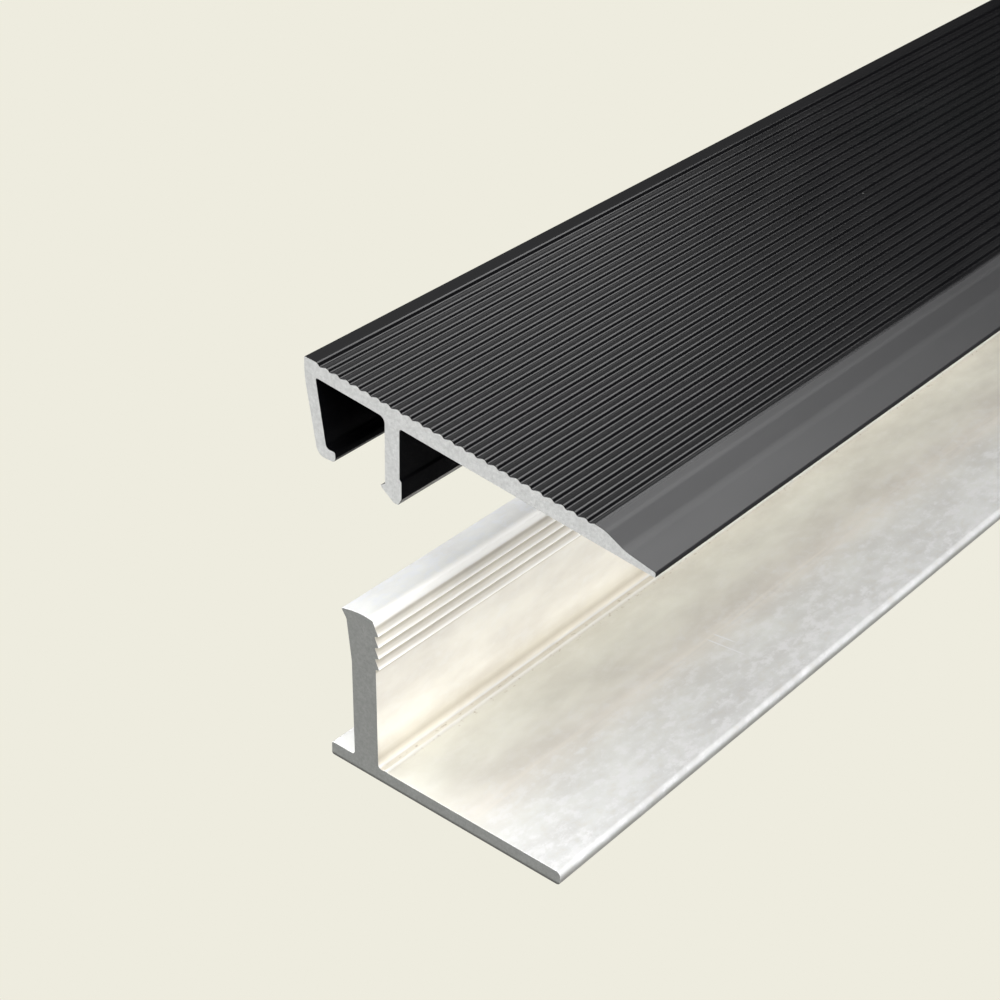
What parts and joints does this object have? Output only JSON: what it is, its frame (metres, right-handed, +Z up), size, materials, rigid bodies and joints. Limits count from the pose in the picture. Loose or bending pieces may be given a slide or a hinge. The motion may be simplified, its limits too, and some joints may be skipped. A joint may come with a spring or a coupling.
{
  "type": "threshold strip",
  "caption": "Ribbed ramp cover with two clip legs, held above a low T-shaped base track with a toothed upright, shown at a straight length.",
  "frame": {"origin": "centre of the base track's underside, on the floor", "axes": "+X across the strip toward the cover's thin nose, +Y along the strip, +Z up"},
  "size_m": [0.0299, 0.9, 0.0336],
  "materials": {
    "mill_aluminium": "mill finish, softly brushed along its length, with sawn matt ends",
    "black_coating": "satin black coating, with bare sawn ends"
  },
  "bodies": {
    "track": {"base_track": "mill_aluminium"},
    "cover": {"ramp_cover": "black_coating"}
  },
  "joints": [
    {"name": "cover_press", "type": "slide", "parent": "track", "child": "cover", "axis": [0, 0, 1], "range_m": [-0.0172, 0]}
  ]
}
